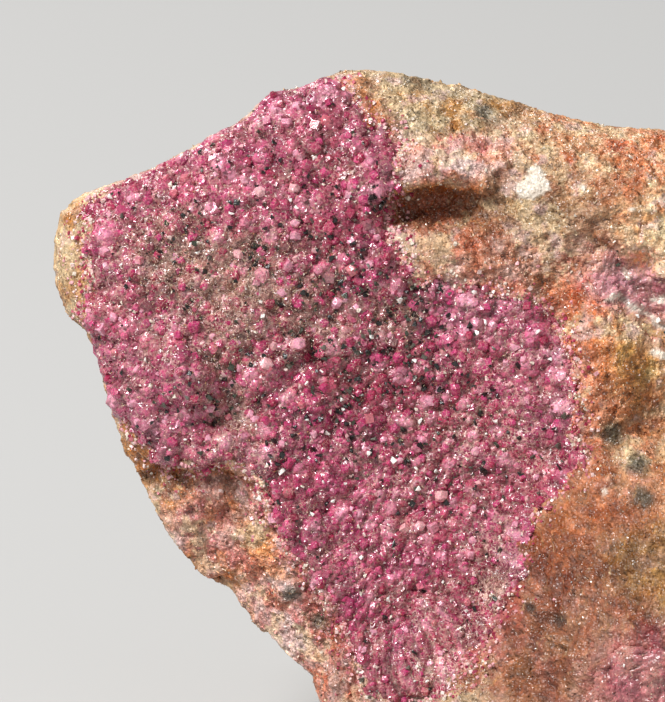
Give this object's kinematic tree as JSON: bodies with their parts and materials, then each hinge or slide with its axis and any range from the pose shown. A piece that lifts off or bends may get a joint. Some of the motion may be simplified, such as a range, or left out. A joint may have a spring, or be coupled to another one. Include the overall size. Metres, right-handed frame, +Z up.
{
  "type": "mineral specimen",
  "caption": "Broken block of calcite rock with a flat foot, its leaning face lined with a crust of magenta cobaltoan calcite crystals.",
  "frame": {"origin": "centre of the foot of the bounding box, on the plane of the flat broken base", "axes": "+Z up, +X to the right across the crystal face, -Y out towards the viewer of the face, which leans back from upright"},
  "size_m": [0.0907, 0.0629, 0.0858],
  "materials": {
    "matrix": "broken, matt to dull, iron stained",
    "druse": "glassy small crystals, translucent"
  },
  "bodies": {
    "root": {"matrix": "matrix", "druse_main": "druse", "druse_pocket": "druse", "druse_corner": "druse"}
  },
  "joints": []
}
